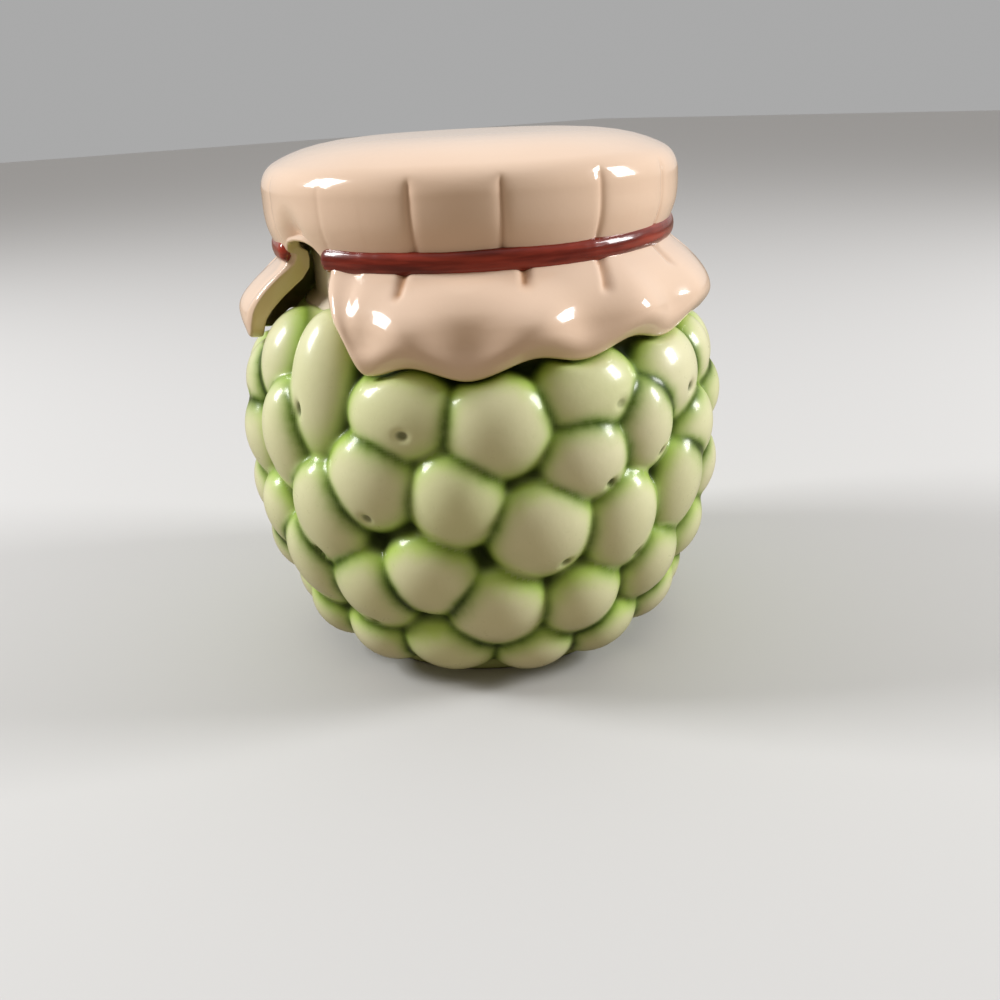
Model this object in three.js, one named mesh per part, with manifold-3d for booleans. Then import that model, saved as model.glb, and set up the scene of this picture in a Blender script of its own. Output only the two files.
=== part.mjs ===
// A glazed earthenware preserve jar covered with berries in relief. Its lid is moulded as a cloth cover,
// tied with a cord and notched for a spoon. Millimetres, +Z up; the jar stands on z = 0 with its axis on Z,
// and the spoon notch faces -X.
import * as THREE from 'three';
import { mergeVertices } from 'three/addons/utils/BufferGeometryUtils.js';
import Module from 'manifold-3d';

const wasm = await Module();
wasm.setup();

// Jar
const neckRadius = 33.3;
const neckHeight = 22;
const jarWall = 4;
const rimRound = 1.2;
const shoulderHeight = 77;
const bellyBulge = 12.7; // how far the vessel's widest part stands out beyond the neck
const bellyHeight = 46;
const shoulderFullness = 2.5; // 2 gives an elliptical shoulder, more gives a squarer one
const footRadius = 31.5;
const footRingWidth = 8;
const footRecess = 1.5;
const floorThickness = 5;
const spoonSlotWidth = 13;
const spoonSlotDepth = 14.5;
const spoonSlotRound = 2.5;

// Berries
const berryRise = 5.5; // tips above the vessel wall
const berryDepth = 8; // half thickness, square to the wall
const berryDroop = 12; // degrees that each berry hangs forward
const berryTableGap = 0.8;
const reliefWall = 1.5; // coat that joins the berries, outside the pot's own wall
const reliefGap = 0.3; // between the coat and the pot
const reliefDrop = 2; // upper edge of the coat below the shoulder
const lowestRowHeight = 7.5;
const topRowDrop = 16; // top row below the shoulder
const frontTurn = 232.5; // direction of the front, in degrees from +X

// Lid
const lidWall = 4;
const neckPlay = 2.2; // between the neck and the lid's waist
const seatGap = 0.3; // between the rim and the lid's ceiling
const crownRound = 5.5;
const crownRoll = 64; // degrees of arc at the crown's edge, up to where the dome begins
const crownFall = 1.6; // dome's edge below a flat top that is one wall thick
const crownDome = 3.9; // middle of the dome above its edge
const domeFullness = 5; // 2 gives a parabola, more gives a flatter middle
const crownBulge = 2.3; // crown beyond the waist
const skirtFlare = 8.4; // hem beyond the waist's lip
const skirtFullness = 1.8; // 1 gives a straight skirt, more gives a fuller bell
const hemDip = 8.3; // hem below the shoulder
const hemBand = 5.8; // upright band above the hem
const hemWave = 1.1;
const hemGap = 0.4; // between the hem and the berries
const fluteDepth = 0.7;
const pleatCount = 15;
const pleatDepth = 0.9;
const pleatTurn = 25.5; // direction of one crease, in degrees from +X
const lipCrease = 0.5; // share of the pleats' depth that is left beside the groove
const notchWidth = 10.4; // at the cord
const notchFlare = 13.3; // each side, from the cord down to the hem
const notchRise = 2.3; // top of the notch above the cord's middle
const notchRoundness = 0.6; // 0 gives the notch a pointed top, 1 a square one

// Cord
const cordDrop = 12.7; // middle of the cord below the rim
const cordWidth = 4.2;
const cordThickness = 1.2;
const cordGap = 0.3;
const grooveLip = 0.8;
const cordEndGap = 1; // cord ends back from the notch

// Facets
const turnSegments = 32;
const turnSteps = 8; // up the vessel's side
const berrySegments = 10;
const berryRings = 5;
const pleatSegments = 4;
const skirtSteps = 5;
const arcSteps = 4;
const weldDistance = 1e-4;

const bellyRadius = neckRadius + bellyBulge;
const reliefTop = shoulderHeight - reliefDrop;
const mouthRadius = neckRadius - jarWall;
const rimHeight = shoulderHeight + neckHeight;
const ceilingHeight = rimHeight + seatGap;
const domeEdgeHeight = ceilingHeight + lidWall - crownFall;
const waistInside = neckRadius + neckPlay;
const waistRadius = waistInside + lidWall;
const lipRadius = waistRadius + grooveLip;
const crownRadius = waistRadius + crownBulge;
const cornerRadius = crownRadius - crownRound;
const hemRadius = lipRadius + skirtFlare;
const hemHeight = shoulderHeight - hemDip;
const cordHeight = rimHeight - cordDrop;
const cordRadius = waistRadius + cordGap;
const grooveTop = cordHeight + cordWidth / 2 + cordGap;
const grooveBottom = cordHeight - cordWidth / 2 - cordGap;

// Each berry: turn from the front in degrees, lift from its row in mm, width and length in mm.
// The rows run from the foot upwards. Each covers half the jar and is repeated on the other half.
const berryRows = [
  [
    [-59, 0, 16, 17], [-37, -1.7, 17.5, 17], [-13.6, -1.3, 19.5, 18], [12, -2.8, 18, 15.5],
    [35.5, -2.1, 18.5, 17.5], [58, 0.5, 17, 17.5], [78, -1, 17, 17], [100, 0, 17.5, 17],
  ],
  [
    [-71, 1.5, 16, 17], [-52, 1, 17, 24], [-31.7, -1.3, 19, 22], [1, -4.5, 19.5, 21.5], [24, -5, 17.5, 20],
    [46.6, -1.7, 17, 20.5], [65, 1.5, 16, 18], [79.5, -3.5, 16, 17], [96, -1.5, 17, 19],
  ],
  [
    [-63.5, -2.8, 16, 19], [-41, 1, 18.5, 25], [-15, -9.2, 19, 20], [12, 0, 20, 21.5], [33, -2, 17.5, 23],
    [53.5, 2, 17.5, 26], [70.5, 0.5, 15, 19], [83, -4.5, 16.5, 19], [100.5, -1.5, 16.5, 19],
  ],
  [
    [-72, 1.5, 16, 24], [-53.5, 2.3, 16, 24], [-27, -2.7, 18.5, 20.5], [-7, -5.6, 18, 20],
    [23, 0.9, 18, 17.5], [39.7, 4.5, 15.5, 19.5], [61.5, -1.5, 18, 19], [77, 3.5, 14.5, 17],
    [92.5, -2.5, 17, 20],
  ],
  [
    [-19, -1.5, 20.5, 17.5], [3, -4.7, 20, 19.5], [25.3, 0.7, 21.5, 17], [52.5, -0.5, 22, 19],
    [72, 1, 16.5, 16], [89, -2, 17.5, 18], [105, -1, 17.5, 17],
  ],
];
// Berries of the top row that stand below the notch, and those opposite them, under the skirt.
const notchBerries = [[-63, 6, 16, 20], [-42, 2, 16, 28]];
const farBerries = [[122, -1, 17.5, 17], [139, -1.5, 17.5, 18]];

// A closed geometry as a solid that can be joined and cut.
function toSolid(geometry) {
  geometry.deleteAttribute('normal');
  geometry.deleteAttribute('uv');
  const merged = mergeVertices(geometry, weldDistance);
  const triangles = [];
  const index = merged.index.array;
  for (let i = 0; i < index.length; i += 3) {
    const [a, b, c] = index.slice(i, i + 3);
    if (a !== b && b !== c && c !== a) triangles.push(a, b, c);
  }
  return new wasm.Manifold(new wasm.Mesh({
    numProp: 3,
    vertProperties: new Float32Array(merged.attributes.position.array),
    triVerts: new Uint32Array(triangles),
  }));
}

function toGeometry(solid) {
  const { vertProperties, triVerts } = solid.getMesh();
  const geometry = new THREE.BufferGeometry();
  geometry.setAttribute('position', new THREE.BufferAttribute(vertProperties, 3));
  geometry.setIndex(new THREE.BufferAttribute(triVerts, 1));
  geometry.computeVertexNormals();
  return geometry;
}

// A solid of revolution about Z from a profile of [radius, height] points.
function turned(profile, segments = turnSegments) {
  const points = profile.map(([radius, height]) => new THREE.Vector2(radius, height));
  return toSolid(new THREE.LatheGeometry(points, segments).rotateX(Math.PI / 2));
}

// A prism along X: the outline is drawn in Y and Z, and runs from x = start to x = end.
function prismAlongX(outline, start, end) {
  const options = { depth: end - start, bevelEnabled: false, curveSegments: arcSteps };
  const geometry = new THREE.ExtrudeGeometry(outline, options);
  const basis = new THREE.Matrix4().makeBasis(
    new THREE.Vector3(0, 1, 0),
    new THREE.Vector3(0, 0, 1),
    new THREE.Vector3(1, 0, 0),
  );
  return toSolid(geometry.applyMatrix4(basis).translate(start, 0, 0));
}

// Radius of the vessel wall under the berries: an ellipse from the foot to the belly, and a fuller curve
// from there to the neck.
function vesselRadius(height) {
  const up = height > bellyHeight;
  const power = up ? shoulderFullness : 2;
  const endRadius = up ? neckRadius : footRadius;
  const endReach = up ? shoulderHeight - bellyHeight : bellyHeight;
  const curveReach = endReach / (1 - (endRadius / bellyRadius) ** power) ** (1 / power);
  const share = Math.abs(height - bellyHeight) / curveReach;
  return bellyRadius * (1 - share ** power) ** (1 / power);
}

// Tilt of the wall's outward normal above the horizontal, in radians.
function vesselTilt(height) {
  const step = 0.05;
  const slope = (vesselRadius(height + step) - vesselRadius(height - step)) / (2 * step);
  return Math.atan(-slope);
}

// Outside of the pot, filled: it is set back between two ledges, where the coat of berries lies. A margin
// gives the room that the pot takes up in the coat.
function pot(margin) {
  const setback = reliefWall + reliefGap - margin;
  const bottom = berryTableGap - reliefGap + margin;
  const top = reliefTop + reliefGap - margin;
  const profile = [
    [0, footRecess],
    [footRadius - footRingWidth - footRecess, footRecess],
    [footRadius - footRingWidth, 0],
    [footRadius, 0],
    [vesselRadius(bottom), bottom],
  ];
  for (let i = 0; i <= turnSteps; i++) {
    const height = bottom + (top - bottom) * i / turnSteps;
    profile.push([vesselRadius(height) - setback / Math.cos(vesselTilt(height)), height]);
  }
  profile.push(
    [vesselRadius(top) + margin, top],
    [neckRadius + margin, shoulderHeight],
    [neckRadius + margin, rimHeight - rimRound],
    [neckRadius - rimRound, rimHeight],
    [0, rimHeight],
  );
  return turned(profile);
}

// The coat that the berries stand on: a ring that reaches in over the middle of the foot ring.
function coat() {
  const inside = footRadius - footRingWidth / 2;
  const profile = [[inside, berryTableGap]];
  for (let i = 0; i <= turnSteps; i++) {
    const height = berryTableGap + (reliefTop - berryTableGap) * i / turnSteps;
    profile.push([vesselRadius(height), height]);
  }
  profile.push([inside, reliefTop], [inside, berryTableGap]);
  return turned(profile);
}

// The hollow of the jar, one wall inside the vessel, open at the mouth.
function cavity() {
  const sides = [];
  for (let i = 1; i < turnSteps; i++) {
    const height = shoulderHeight * i / turnSteps;
    const tilt = vesselTilt(height);
    const inner = vesselRadius(height) - jarWall * Math.cos(tilt);
    const level = height - jarWall * Math.sin(tilt);
    if (level > floorThickness && inner > mouthRadius) sides.push([inner, level]);
  }
  return turned([
    [0, floorThickness],
    [sides[0][0] - jarWall, floorThickness],
    ...sides,
    [mouthRadius, shoulderHeight],
    [mouthRadius, rimHeight - rimRound],
    [mouthRadius + rimRound, rimHeight],
    [mouthRadius + rimRound, rimHeight + jarWall],
    [0, rimHeight + jarWall],
  ]);
}

// One berry: an ellipsoid with its tip above the wall, hanging a little forward.
function berry(turn, height, width, length) {
  const angle = THREE.MathUtils.degToRad(frontTurn + turn);
  const tilt = vesselTilt(height) - THREE.MathUtils.degToRad(berryDroop);
  const radial = new THREE.Vector3(Math.cos(angle), Math.sin(angle), 0);
  const around = new THREE.Vector3(-Math.sin(angle), Math.cos(angle), 0);
  const out = radial.clone().multiplyScalar(Math.cos(tilt)).setZ(Math.sin(tilt));
  const along = radial.clone().multiplyScalar(-Math.sin(tilt)).setZ(Math.cos(tilt));
  const tip = radial.multiplyScalar(vesselRadius(height) + berryRise).setZ(height);
  const centre = tip.addScaledVector(out, -berryDepth);
  const placing = new THREE.Matrix4().makeBasis(
    along.multiplyScalar(length / 2),
    out.multiplyScalar(berryDepth),
    around.multiplyScalar(width / 2),
  );
  const ball = new THREE.SphereGeometry(1, berrySegments, berryRings);
  return toSolid(ball.applyMatrix4(placing.setPosition(centre)));
}

function berries() {
  const topRowHeight = shoulderHeight - topRowDrop;
  const rowPitch = (topRowHeight - lowestRowHeight) / (berryRows.length - 1);
  const solids = [];
  const place = ([turn, lift, width, length], row, halfTurn) => {
    solids.push(berry(turn + halfTurn, lowestRowHeight + row * rowPitch + lift, width, length));
  };
  berryRows.forEach((list, row) => {
    for (const entry of list) {
      place(entry, row, 0);
      place(entry, row, 180);
    }
  });
  for (const entry of [...notchBerries, ...farBerries]) place(entry, berryRows.length - 1, 0);
  return solids.reduce((joined, next) => joined.add(next));
}

// The space that the berries leave free under the jar, outside the foot.
function tableGap() {
  const outside = bellyRadius + berryRise + berryDepth;
  const below = -berryDepth;
  return turned([
    [footRadius, below],
    [outside, below],
    [outside, berryTableGap],
    [footRadius, berryTableGap],
    [footRadius, below],
  ]);
}

// The space that the skirt's hem takes up over the shoulder's berries. It is left out in the notch.
function hemRoom() {
  const inside = hemRadius - lidWall - fluteDepth - hemGap;
  const outside = hemRadius + bellyBulge;
  const bottom = hemHeight - hemWave - hemGap;
  const room = turned([
    [inside, bottom],
    [outside, bottom],
    [outside, rimHeight],
    [inside, rimHeight],
    [inside, bottom],
  ]);
  return room.subtract(notch(-hemGap));
}

function spoonSlot() {
  const half = spoonSlotWidth / 2;
  const bottom = rimHeight - spoonSlotDepth;
  const top = rimHeight + jarWall;
  const outline = new THREE.Shape();
  outline.moveTo(-half, top);
  outline.lineTo(-half, bottom + spoonSlotRound);
  outline.absarc(-half + spoonSlotRound, bottom + spoonSlotRound, spoonSlotRound, Math.PI, Math.PI * 1.5);
  outline.absarc(half - spoonSlotRound, bottom + spoonSlotRound, spoonSlotRound, Math.PI * 1.5, Math.PI * 2);
  outline.lineTo(half, top);
  return prismAlongX(outline, -neckRadius - jarWall, -mouthRadius + 2 * jarWall);
}

function jarBody() {
  return toGeometry(pot(0).subtract(cavity()).subtract(spoonSlot()));
}

function berryRelief() {
  const outside = coat().add(berries().subtract(hemRoom()).subtract(tableGap()));
  return toGeometry(outside.subtract(pot(reliefGap)));
}

// Share of a pleat's crease at an angle: 1 in the crease, falling to 0 a quarter pleat away.
function creaseShare(angle) {
  const pleat = 2 * Math.PI / pleatCount;
  const turns = (angle - THREE.MathUtils.degToRad(pleatTurn)) / pleat;
  const away = Math.abs(turns - Math.round(turns));
  return Math.max(0, 1 - away * 4) ** 2;
}

// The cloth's wave round the skirt: -1 in line with a crease and 1 halfway between creases.
function puff(angle) {
  return -Math.cos((angle - THREE.MathUtils.degToRad(pleatTurn)) * pleatCount);
}

// A ring of the lid. The crease share bites into its radius, and the wave share moves it with the puffs.
function ring(radius, height, crease = 0, wave = 0) {
  return { radius, height, crease, wave };
}

// Outside of the lid from the crown's edge down to the hem.
function lidOutside() {
  const rings = [];
  const roll = THREE.MathUtils.degToRad(crownRoll);
  const domeEdge = cornerRadius + crownRound * Math.cos(roll);
  const cornerHeight = domeEdgeHeight - crownRound * Math.sin(roll);
  for (const share of [0.5, 0.8, 1]) {
    rings.push(ring(domeEdge * share, domeEdgeHeight + crownDome * (1 - share ** domeFullness)));
  }
  for (let i = 1; i <= arcSteps; i++) {
    const angle = roll * (1 - i / arcSteps);
    const radius = cornerRadius + crownRound * Math.cos(angle);
    rings.push(ring(radius, cornerHeight + crownRound * Math.sin(angle), Math.cos(angle) ** 4));
  }
  rings.push(
    ring(lipRadius, grooveTop, lipCrease),
    ring(waistRadius, grooveTop),
    ring(waistRadius, grooveBottom),
    ring(lipRadius, grooveBottom, lipCrease),
  );
  return rings.concat(skirt());
}

// The flared skirt, from the groove to the band above the hem.
function skirt() {
  const bottom = hemHeight + hemBand;
  const rings = [];
  for (let i = 1; i <= skirtSteps; i++) {
    const share = i / skirtSteps;
    const flare = 1 - (1 - share) ** skirtFullness;
    const height = grooveBottom + (bottom - grooveBottom) * share;
    rings.push(ring(lipRadius + skirtFlare * flare, height, lipCrease * (1 - share), share));
  }
  return rings;
}

// The rounded hem, from the outside round to the inside.
function hem() {
  const half = lidWall / 2;
  const rings = [];
  for (let i = 0; i <= arcSteps; i++) {
    const angle = i / arcSteps * Math.PI;
    const radius = hemRadius - half + half * Math.cos(angle);
    rings.push(ring(radius, hemHeight + half - half * Math.sin(angle), 0, 1));
  }
  return rings;
}

// Inside of the lid from the hem up to the ceiling, one wall in from the outside.
function lidInside() {
  const flared = skirt();
  const rings = [];
  for (let i = flared.length - 1; i > 0; i--) {
    const above = flared[i - 1];
    const here = flared[i];
    const below = flared[Math.min(i + 1, flared.length - 1)];
    const slope = Math.atan2(below.radius - above.radius, above.height - below.height);
    const inner = here.radius - lidWall * Math.cos(slope);
    rings.push(ring(inner, here.height - lidWall * Math.sin(slope), 0, here.wave));
  }
  const innerRound = crownRound - lidWall;
  rings.push(ring(waistInside, grooveBottom - lidWall / 2), ring(waistInside, grooveTop));
  for (const angle of [Math.PI / 2, Math.PI / 4, 0]) {
    const height = ceilingHeight - innerRound * (1 - Math.cos(angle));
    rings.push(ring(cornerRadius + innerRound * Math.sin(angle), height));
  }
  rings.push(ring(mouthRadius, ceilingHeight));
  return rings;
}

// Skin the rings, from the crown's middle over the outside and back to the ceiling's middle.
function lidShell() {
  const rings = [...lidOutside(), ...hem(), ...lidInside()];
  const segments = pleatCount * pleatSegments;
  const positions = [0, 0, domeEdgeHeight + crownDome];
  const start = THREE.MathUtils.degToRad(pleatTurn);
  for (const { radius, height, crease, wave } of rings) {
    for (let i = 0; i < segments; i++) {
      const angle = start + i * 2 * Math.PI / segments;
      const out = radius - crease * pleatDepth * creaseShare(angle) + wave * fluteDepth * puff(angle);
      positions.push(out * Math.cos(angle), out * Math.sin(angle), height - wave * hemWave * puff(angle));
    }
  }
  positions.push(0, 0, ceilingHeight + crownDome - crownFall);
  const last = positions.length / 3 - 1;
  const at = (row, i) => 1 + row * segments + i % segments;
  const index = [];
  for (let i = 0; i < segments; i++) {
    index.push(0, at(0, i), at(0, i + 1));
    for (let row = 0; row < rings.length - 1; row++) {
      index.push(at(row, i), at(row + 1, i), at(row + 1, i + 1));
      index.push(at(row, i), at(row + 1, i + 1), at(row, i + 1));
    }
    index.push(at(rings.length - 1, i), last, at(rings.length - 1, i + 1));
  }
  const geometry = new THREE.BufferGeometry();
  geometry.setAttribute('position', new THREE.Float32BufferAttribute(positions, 3));
  geometry.setIndex(index);
  return toSolid(geometry);
}

// The notch through the skirt, widened on every side by a margin.
function notch(margin) {
  const half = notchWidth / 2 + margin;
  const top = cordHeight + notchRise + margin;
  const below = hemHeight - lidWall;
  const flare = notchFlare * (cordHeight - below) / (cordHeight - hemHeight);
  const outline = new THREE.Shape();
  outline.moveTo(-half - flare, below);
  outline.lineTo(half + flare, below);
  outline.lineTo(half, cordHeight);
  outline.quadraticCurveTo(half * notchRoundness, top, 0, top);
  outline.quadraticCurveTo(-half * notchRoundness, top, -half, cordHeight);
  return prismAlongX(outline, -hemRadius - lidWall, -waistInside + 2 * lidWall);
}

function lidCover() {
  return toGeometry(lidShell().subtract(notch(0)));
}

function tieCord() {
  const profile = [];
  for (let i = 0; i <= arcSteps; i++) {
    const angle = Math.PI * (i / arcSteps - 0.5);
    const radius = cordRadius + cordThickness * Math.cos(angle);
    profile.push([radius, cordHeight + cordWidth / 2 * Math.sin(angle)]);
  }
  profile.push(profile[0]);
  return toGeometry(turned(profile, pleatCount * pleatSegments).subtract(notch(cordEndGap)));
}

function glaze(color, roughness) {
  return new THREE.MeshStandardMaterial({ color, roughness, metalness: 0 });
}

const group = new THREE.Group();
const addPart = (name, geometry, material) => {
  const mesh = new THREE.Mesh(geometry, material);
  mesh.name = name;
  group.add(mesh);
};
addPart('jar_body', jarBody(), glaze('#e8dcc6', 0.15));
addPart('berry_relief', berryRelief(), glaze('#c6d39b', 0.15));
addPart('lid_cover', lidCover(), glaze('#ebcdb4', 0.15));
addPart('tie_cord', tieCord(), glaze('#7a2f28', 0.2));

export default group;
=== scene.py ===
"""Looks of a lidded preserve jar in glazed earthenware: berry relief, moulded cloth cover and tie cord.

Metres, +Z up, in the frame of the CAD model: the jar stands on z = 0 and the spoon notch faces -X.
"""
import math

import bpy
import numpy as np
from mathutils import Matrix, Vector


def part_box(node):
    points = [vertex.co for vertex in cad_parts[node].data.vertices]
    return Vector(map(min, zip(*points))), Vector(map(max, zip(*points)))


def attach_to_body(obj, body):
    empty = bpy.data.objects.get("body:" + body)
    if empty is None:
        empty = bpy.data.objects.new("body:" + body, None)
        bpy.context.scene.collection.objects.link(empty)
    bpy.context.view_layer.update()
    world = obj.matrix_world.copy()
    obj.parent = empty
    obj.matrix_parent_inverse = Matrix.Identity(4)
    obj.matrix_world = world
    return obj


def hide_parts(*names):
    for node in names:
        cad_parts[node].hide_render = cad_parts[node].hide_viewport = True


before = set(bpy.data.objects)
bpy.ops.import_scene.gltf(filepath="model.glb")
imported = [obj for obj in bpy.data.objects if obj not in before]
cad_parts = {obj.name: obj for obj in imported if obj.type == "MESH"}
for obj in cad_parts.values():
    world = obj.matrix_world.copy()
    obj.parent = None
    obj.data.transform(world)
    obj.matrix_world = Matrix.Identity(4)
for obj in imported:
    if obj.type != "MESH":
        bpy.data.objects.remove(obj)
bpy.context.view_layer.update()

MM = 0.001

# Sizes that the CAD model gives
rim_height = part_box("jar_body")[1].z
lid_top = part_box("lid_cover")[1].z
cord_low, cord_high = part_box("tie_cord")
cord_height = (cord_low.z + cord_high.z) / 2
cord_outside = cord_high.x

# Jar
NECK_RADIUS = 33.3 * MM
JAR_WALL = 4 * MM
RIM_ROUND = 1.6 * MM
SHOULDER_HEIGHT = 77 * MM
BELLY_RADIUS = 46 * MM
BELLY_HEIGHT = 46 * MM
SHOULDER_FULLNESS = 2.5
FOOT_RADIUS = 31.5 * MM
FOOT_RING_WIDTH = 8 * MM
FOOT_RECESS = 1.5 * MM
FOOT_EDGE_RISE = 0.2 * MM
FOOT_EDGE_WIDTH = 0.5 * MM
FOOT_BEVEL = 1.1 * MM
FLOOR_THICKNESS = 5 * MM
INSIDE_MARGIN = 2 * MM
SLOT_WIDTH = 13 * MM
SLOT_DEPTH = 14.5 * MM
SLOT_SIDE = 2.5 * MM
POT_COLUMNS = 240
WALL_ROWS = 24
SHOULDER_ROWS = 5
NECK_ROWS = 16
RIM_ROWS = 6
THROAT_ROWS = 12
CORNER_ROWS = 7
PROFILE_SAMPLES = 2000

# Berries, on a coat round the pot
RELIEF_WALL = 1.5 * MM
BACKING_DEPTH = 0.9 * RELIEF_WALL
RELIEF_TOP = 75 * MM
RELIEF_COLUMNS = 560
RELIEF_ROWS = 164
RELIEF_BACK_STEP = 24
BERRY_RISE = 5.15 * MM
BERRY_DEPTH = 8 * MM
BERRY_DROOP = 12
BERRY_FULLNESS = 1.1
LOWEST_ROW_HEIGHT = 7.5 * MM
TOP_ROW_HEIGHT = 61 * MM
FRONT_TURN = 232.5
CREASE_ROUND = 1.1 * MM
HEIGHT_BLUR = 2
GAP_BLUR = 4
BLUR_WEIGHT = 0.8
TONE_SEED = 4
TABLE_GAP = 0.05 * MM
HEM_ROOM_RADIUS = 41 * MM
HEM_GAP = 0.8 * MM
ROOM_ROUND = 1 * MM
LEAST_SLOPE = 0.001
GAP_DEPTH = 1 * MM
GAP_FADE = 6 * MM
BARE_SHOULDER = 8 * MM
# A pit lies below its berry's middle, on the side that faces away from the middle turn. Its drop and side are
# shares of the half length and half width, and turns are in degrees from the front.
PIT_DROP = 0.37
TOP_PIT_DROP = 0.2
PIT_SIDE = 0.4
PIT_MIDDLE_TURN = -27
PIT_TURN_SPREAD = 20
PIT_EDGE_TURN = 70
PIT_EDGE_SPREAD = 45
PIT_LEAST_SHARE = 0.3
PIT_BERRY_SIZE = 8.5 * MM
PIT_WIDTH = 1.7 * MM
PIT_DEPTH = 1.1 * MM

# Each berry: turn from the front in degrees, lift from its row, width and length in mm, and its pit's share
# of the full depth. The rows run from the foot upwards, and each is repeated on the jar's other half.
BERRY_ROWS = [
    [
        (-59, 0, 16, 17, 0), (-37, -1.7, 17.5, 17, 0), (-13.6, -1.3, 19.5, 18, 0), (12, -2.8, 18, 15.5, 0),
        (35.5, -2.1, 18.5, 17.5, 0), (58, 0.5, 17, 17.5, 0.5), (78, -1, 17, 17, 0), (100, 0, 17.5, 17, 0),
    ],
    [
        (-71, 1.5, 16, 17, 0.6), (-52, 1, 17, 24, 0.8), (-31.7, -1.3, 19, 22, 0.8),
        (1, -4.5, 19.5, 21.5, 0), (24, -5, 17.5, 20, 0), (46.6, -1.7, 17, 20.5, 0.7),
        (65, 1.5, 16, 18, 0), (79.5, -3.5, 16, 17, 0.6), (96, -1.5, 17, 19, 0.8),
    ],
    [
        (-63.5, -2.8, 16, 19, 0.8), (-41, 1, 18.5, 25, 1), (-15, -9.2, 19, 20, 0),
        (12, 0, 20, 21.5, 0.8), (33, -2, 17.5, 23, 0.8), (53.5, 0.8, 17.5, 23.5, 0),
        (70.5, 0.5, 15, 19, 0.7), (83, -4.5, 16.5, 19, 1), (100.5, -1.5, 16.5, 19, 0.8),
    ],
    [
        (-27, -2.7, 18.5, 20.5, 0.8), (-7, -5.6, 18, 20, 0), (23, 0.9, 18, 17.5, 1),
        (39.7, 4.5, 15.5, 19.5, 1), (61.5, -1.5, 18, 19, 1), (77, 3.5, 14.5, 17, 0.5),
        (92.5, -2.5, 17, 20, 1),
    ],
    [
        (-19, -1.5, 20.5, 17.5, 0.9), (3, -4.7, 20, 19.5, 0), (25.3, 0.7, 21.5, 17, 0.5),
        (52.5, -0.5, 22, 19, 1), (72, 1, 16.5, 16, 0.6), (89, -2, 17.5, 18, 1), (105, -1, 17.5, 17, 0.8),
    ],
]
# Berries below the notch and opposite it, with their lifts from the top row. These aren't repeated.
SINGLE_BERRIES = [
    (-63, 6, 16, 20, 0), (-42, 2, 16, 28, 1), (-53.5, -11.1, 16, 24, 0.4), (-72, -13.9, 16, 20, 0.7),
    (122, -1, 17.5, 17, 0.8), (139, -1.5, 17.5, 18, 0.5), (108, -13.9, 16, 20, 0.7),
    (126.5, -13.9, 16, 20, 0.4),
]

# Lid
LID_WALL = 4 * MM
LID_GAP = 0.3 * MM
CEILING_HEIGHT = rim_height + LID_GAP
CEILING_SHARES = (0, 0.3, 0.6, 0.9)
CROWN_RADIUS = 41.8 * MM
CROWN_ROUND = 5.5 * MM
CROWN_ROLL = 64
CROWN_DOME = 3.9 * MM
DOME_FULLNESS = 5
DOME_SHARES = (0.97, 0.92, 0.86, 0.78, 0.68, 0.55, 0.4, 0.2, 0)
SIDE_TOP = 96.75 * MM
LID_COLUMNS = 700
CEILING_CORNER_ROWS = 5
INSIDE_ROWS = 24
HEM_ROWS = 15
OUTSIDE_ROWS = 66
CROWN_ROWS = 14
# The lid's outside and inside below the crown: height and radius in mm.
LID_OUTSIDE = [
    (96.75, 41.8), (94, 41.8), (91.5, 41.5), (89.5, 40.9), (88.2, 40.4), (86.3, 39.8), (84.8, 40),
    (83.7, 40.9), (82.2, 42.8), (80.7, 44.6), (79.2, 46.1), (77.7, 47.3), (76.2, 48.1), (74.5, 48.5),
    (72, 48.7), (60, 48.7),
]
LID_INSIDE = [
    (96.75, 37.8), (94, 37.8), (91.5, 37.6), (88.7, 37.1), (86, 36.8), (82.2, 37), (80.5, 38.6),
    (79, 40.4), (77.2, 42.8), (75.8, 44.2), (74.6, 45), (73, 45.5), (60, 45.7),
]
# The hem's lower edge: turn from the front in degrees and height in mm.
HEM_EDGE = [
    (-67, 68.6), (-57, 69.3), (-40, 69.5), (-25, 67), (-16, 68.6), (-3, 66.2), (13, 69.4), (23, 68.1),
    (37.5, 70.5), (48.5, 69), (61, 70.6), (70, 70.4), (83, 68.8), (97, 68), (110, 69.9), (121, 68),
    (133, 69.6), (146, 67.7), (158, 69.8), (169, 68.1), (181, 69.7), (194, 67.8), (206, 69.9), (218, 68.2),
    (230, 69.6), (242, 67.9), (253, 69.8), (265, 68), (278, 69.7), (293, 68.6), (303, 69.3),
]
HEM_MIDDLE = 68.8 * MM
# Share of the full wave at which the skirt stands out, by height above the hem's edge in mm.
WAVE_SHARE = [(-20, 0), (0, 0), (3, 0.55), (6, 1), (9, 0.8), (12, 0.35), (15, 0), (40, 0)]
WAVE_DEPTH = 0.65
HEM_TURN_SLOPE = 0.8
HEM_TURN_HEIGHT = 3.4 * MM
HEM_TURN_ROUND = 1.5 * MM
SKIRT_TOP = 86 * MM
# The notch's edge: turn from the notch's middle in degrees and height in mm.
NOTCH_DIRECTION = 180
NOTCH_EDGE = [
    (-30, 58), (-25, 62.5), (-21, 67), (-17.5, 71.5), (-15, 75.7), (-13.4, 79.2), (-12.2, 82.2),
    (-10.8, 85), (-8.5, 86.9), (-4.5, 88), (0, 88.4), (4, 88.1), (7, 86.8), (9, 84.6), (11.2, 82.2),
    (14.6, 79.6), (19, 75.6), (22.2, 71.5), (24.5, 67.5), (30, 58),
]
NOTCH_CORNER = 3 * MM
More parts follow.
